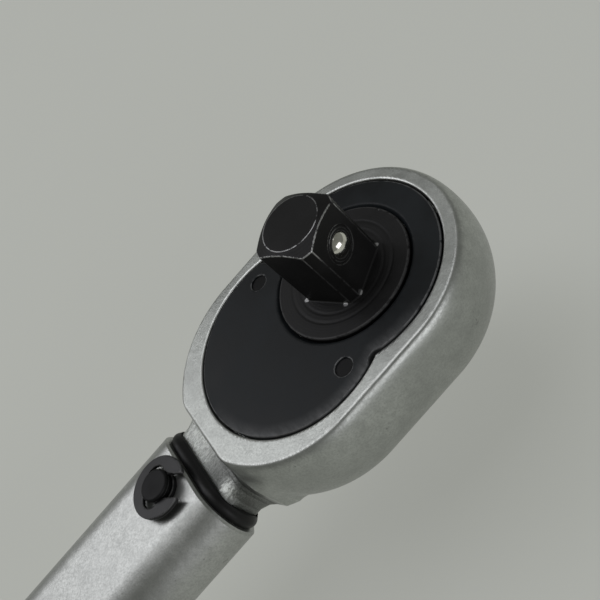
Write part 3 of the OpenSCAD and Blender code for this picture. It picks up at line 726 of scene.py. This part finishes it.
prof = [(-310, GRIP_BORE), (-310, 13.0)] \
    + [(x, 13.1 + 1.4 * (-310 - x) / 9) for x in span(-310.3, -319, 1.5)] \
    + [(x, 14.5) for x in span(-319.2, -325.6, 1.6)] + [(-326, 14.6), (-326.6, 15.4)] \
    + [(x, GRIP_R) for x in span(KNURL_FRONT, KNURL_REAR, 0.33)] \
    + [(-421.4, 15.4), (-422, 14.7)] + [(x, 14.7) for x in span(-422.3, -434.8, 2.2)] \
    + [(-435.6, 14.2), (-436, 13.6), (-436, 13.03), (-424, 13.03), (-423.5, GRIP_BORE)] \
    + [(x, GRIP_BORE) for x in span(-420, -312, 12)]
show(lathe("grip_knurled", prof, 720, diamond, 40), "grip", TUBE_STEEL, "tube_chrome", "grip_sleeve")


FLUTES, FLUTE_DEPTH, FLUTE_FRONT, FLUTE_REAR, FLUTE_FADE = 48, 0.45, -438.4, -447.4, 0.6


def flutes(x, a, r):
    """Grooves along the rim of the knob."""
    if not (FLUTE_REAR < x < FLUTE_FRONT) or r < 11:
        return np.zeros_like(a)
    fade = min(1, (FLUTE_FRONT - x) / FLUTE_FADE, (x - FLUTE_REAR) / FLUTE_FADE)
    wave = np.abs(((a * FLUTES / (2 * math.pi)) % 1) - 0.5)
    return -FLUTE_DEPTH * np.clip(wave * 2.6 - 0.6, 0, 1) * fade


prof = [(-427.3, 0.001), (-427.3, 3.75), (-427.5, 3.95), (-428, 3.95), (-428, 3.4), (-429.1, 3.4),
        (-429.1, 3.95), (-437, 3.95), (-437, 11.4), (-437.5, 12)] \
    + [(x, 12) for x in span(-438.2, -447.8, 0.3)] \
    + [(-448.4, 11.6), (-448.9, 10.9), (-449, 10.2), (-449, 7.5), (-448.6, 7.1), (-448.6, 0.001)]
show(lathe("end_knob", prof, 384, flutes, 40), "knob", TUBE_STEEL, "tube_chrome", "lock_knob")

# ------------------------------------------------------------------ scale on the tube

n = Nodes("scale_ink")
faded = n.ramp(n.noise(900, 4, 0.7), 0.35, 0.6)
INK = n.finish(n.mix(faded, (0.05, 0.05, 0.05), (0.012, 0.012, 0.012)), 0.0, 0.6)
SCALE_X, MARK_STEP, MARKS = -310, 2.5, 15
FIRST, PER_MARK, TO_METRIC = 20, 10, 1.356          # foot-pounds on one side, newton metres on the other
DIGIT, NUMBER_Y, INK_LIFT = 2.7, 6.2, 0.015


def wrap(flat):
    """Rolls flat (x along the tube, y round it, mm) onto the top of the round tube."""
    x, a = flat[:, 0], flat[:, 1] / TUBE_R
    r = TUBE_R + INK_LIFT
    return np.stack([x, r * np.sin(a), AXIS_Z + r * np.cos(a)], 1)


def strip(x0, x1, y0, y1, k=8):
    """A flat rectangle of k quads side by side in y."""
    ys = np.linspace(y0, y1, k + 1)
    P = np.array([(x, y) for y in ys for x in (x0, x1)])
    Q = [(2 * i, 2 * i + 1, 2 * i + 3, 2 * i + 2) for i in range(k)]
    return P, Q


pts, quads, base = [], [], 0
marks = [(-311.5, -271.5, -0.12, 0.12)]
for i in range(MARKS):
    at, half = SCALE_X + MARK_STEP * i, 3.2 if i % 2 == 0 else 1.8
    marks.append((at - 0.1, at + 0.1, -half, half))
for box in marks:
    p, q = strip(*box)
    pts.append(p)
    quads += [tuple(base + v for v in f) for f in q]
    base += len(p)
scale = make_mesh("scale_lines", wrap(np.concatenate(pts)), quads)
show(scale, "tube", INK, "tube_chrome")
for i in range(0, MARKS, 2):
    for side in (-1, 1):
        curve = bpy.data.curves.new("num_%d_%d" % (i, side + 1), "FONT")
        value = FIRST + PER_MARK * i
        curve.body = str(value if side < 0 else round(value * TO_METRIC))
        curve.size = DIGIT
        curve.align_x = "CENTER"
        curve.align_y = "CENTER"
        ob = bpy.data.objects.new("num", curve)
        bpy.context.collection.objects.link(ob)
        bpy.context.view_layer.update()
        me = bpy.data.meshes.new_from_object(ob.evaluated_get(bpy.context.evaluated_depsgraph_get()))
        bpy.data.objects.remove(ob)
        co = np.empty(len(me.vertices) * 3, np.float32)
        me.vertices.foreach_get("co", co)
        co = co.reshape(-1, 3)
        flat = np.stack([co[:, 1] + (SCALE_X + MARK_STEP * i), -co[:, 0] + side * NUMBER_Y], 1)
        me.vertices.foreach_set("co", (wrap(flat) * MM).astype(np.float32).ravel())
        me.update()
        num = bpy.data.objects.new("scale_number_%d_%s" % (i, "a" if side < 0 else "b"), me)
        bpy.context.collection.objects.link(num)
        show(num, "tube", INK, "tube_chrome")

# ------------------------------------------------------------------ springs


def coil(name, start, along, length, mean_r, wire_r, turns, seg=24, sides=12):
    """A coil of round wire round the line from start towards along, with one closed turn at each end."""
    t = np.arange(turns * seg + 1) / seg
    dead = 2.1 * wire_r
    run = length - 2 * wire_r
    rise = np.where(t < 1, dead * t, np.where(t > turns - 1, run - dead * (turns - t),
                                              dead + (run - 2 * dead) * (t - 1) / (turns - 2)))
    a = 2 * math.pi * t[:, None]
    b = 2 * math.pi * np.arange(sides)[None, :] / sides
    r = mean_r + wire_r * np.cos(b)
    local = np.stack([r * np.cos(a), r * np.sin(a), wire_r + rise[:, None] + wire_r * np.sin(b) + 0 * a], -1)
    w = Vector(along).normalized()
    u = w.orthogonal().normalized()
    frame3 = np.array([u, w.cross(u), w])
    P = local.reshape(-1, 3) @ frame3 + np.array(start)
    return make_mesh(name, P, lattice(len(t), sides)[:, ::-1], smooth=60)


SPRING_FRONT, SPRING_LENGTH = -138.8, 144.2
spring = coil("power_spring", (SPRING_FRONT, 0, AXIS_Z), (-1, 0, 0), SPRING_LENGTH, 7.6, 1.8, 20)
show(spring, "tube", SPRING, "spring_steel", "main_spring")
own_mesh(spring)
ball_axis = (math.cos(DRIVE_TURN), math.sin(DRIVE_TURN), 0)
start = tuple(-2.3 * v + (BALL_Z if i == 2 else 0) for i, v in enumerate(ball_axis))
spring = coil("ball_coil", start, ball_axis, 5.15, 1.9, 0.22, 5)
show(spring, "anvil", SPRING, "spring_steel", "ball_spring")
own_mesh(spring)

# ------------------------------------------------------------------ CAD parts that are shown as they are

FINISH = {"cover_screws": PIN_BLACK, "pawl_pin": BRIGHT, "pawl": BRIGHT,
          "lever_ring": SPRING, "pawl_plunger": BRIGHT, "pawl_spring": SPRING, "tilt_block": BRIGHT,
          "spring_plunger": BRIGHT, "spring_seat": BRIGHT, "thrust_balls": BALL,
          "thread_nut": BRASS, "nut_screws": PIN_BLACK, "adjusting_screw": BRIGHT, "grip_plug": BRIGHT,
          "plug_screws": PIN_BLACK, "knob_ring": SPRING}
for name, material in FINISH.items():
    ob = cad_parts[name]
    for s in ob.material_slots:
        s.material = material

# ------------------------------------------------------------------ floor, light, camera

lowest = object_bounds()[0][2]
FLOOR_GAP, FLOOR_SIZE = 0.020, 6
BACKDROP = (0.394, 0.403, 0.374)
PAPER = 2.2                             # the paper's own colour against the backdrop's
GLOW = 0.66                             # share of the paper's brightness near the tool that is its own
bpy.ops.mesh.primitive_grid_add(x_subdivisions=8, y_subdivisions=8, size=FLOOR_SIZE,
                                location=(0, 0, lowest - FLOOR_GAP))
floor = bpy.context.object
floor.name = "floor"
floor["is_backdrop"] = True

# Plain pale paper. It partly glows by itself, and wholly so far away, so that the horizon stays even.
n = Nodes("floor_paper")
x, y, _ = n.xyz()
away = n.math("SQRT", n.math("ADD", n.math("MULTIPLY", x, x), n.math("MULTIPLY", y, y)))
lamp = n.t.nodes.new("ShaderNodeEmission")
n.put(lamp.inputs["Color"], (*BACKDROP, 1))
paper = n.mix(n.ramp(n.noise(9, 3), 0.3, 0.7, 0, 0.04), tuple(v * PAPER for v in BACKDROP), (0.5, 0.5, 0.5))
n.finish(paper, 0.0, 0.9)
blend = n.t.nodes.new("ShaderNodeMixShader")
n.put(blend.inputs[0], n.ramp(away, 0.45, 1.1, GLOW, 1.0))
n.t.links.new(n.bsdf.outputs[0], blend.inputs[1])
n.t.links.new(lamp.outputs[0], blend.inputs[2])
n.t.links.new(blend.outputs[0], n.out.inputs[0])
n.mat.cycles.emission_sampling = "NONE"
floor.data.materials.append(n.mat)


LIGHT_TINT = (1.0, 1.0, 1.05)


def softbox(name, azimuth, elevation, width, height, radiance, distance=1.5):
    """A plain rectangular light that faces the tool, with the given brightness."""
    light = bpy.data.lights.new(name, "AREA")
    light.shape = "RECTANGLE"
    light.size, light.size_y = width, height
    light.color = LIGHT_TINT
    light.energy = radiance * math.pi * width * height
    ob = bpy.data.objects.new(name, light)
    ob.visible_camera = False
    bpy.context.collection.objects.link(ob)
    a, e = math.radians(azimuth), math.radians(elevation)
    way = Vector((math.cos(e) * math.cos(a), math.cos(e) * math.sin(a), math.sin(e)))
    ob.matrix_world = Matrix.Translation(way * distance) @ way.to_track_quat("Z", "Y").to_matrix().to_4x4()


softbox("light_top", 90, 80, 1.1, 1.1, 1.35)
softbox("light_back", 125, 45, 0.9, 0.9, 1.6)
softbox("light_front", 280, 15, 1.2, 0.7, 2.0)

# The room: the backdrop's colour where the camera looks, and dimmer as a light.
ROOM = 0.45
world = bpy.data.worlds.new("studio")
bpy.context.scene.world = world
world.use_nodes = True
t = world.node_tree
room = t.nodes["Background"]
room.inputs["Color"].default_value = (*BACKDROP, 1)
dim = t.nodes.new("ShaderNodeMapRange")
t.links.new(t.nodes.new("ShaderNodeLightPath").outputs["Is Camera Ray"], dim.inputs["Value"])
dim.inputs["To Min"].default_value = ROOM
t.links.new(dim.outputs[0], room.inputs["Strength"])

CAMERA_AT = Vector((-4.207, -103.013, 97.472)) * MM
LOOK_AT = Vector((-9.012, 3.299, 0.0)) * MM
ROLL = math.radians(50.53)
cam = bpy.data.cameras.new("camera")
cam.sensor_width = 36
cam.lens = 46.5
cam.clip_start = 0.005
camera = bpy.data.objects.new("camera", cam)
bpy.context.collection.objects.link(camera)
aim = (LOOK_AT - CAMERA_AT).to_track_quat("-Z", "Y").to_matrix().to_4x4()
camera.matrix_world = Matrix.Translation(CAMERA_AT) @ aim @ Matrix.Rotation(-ROLL, 4, "Z")
bpy.context.scene.camera = camera
bpy.context.scene.view_settings.view_transform = "Standard"
bpy.context.scene.view_settings.look = "None"

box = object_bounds()
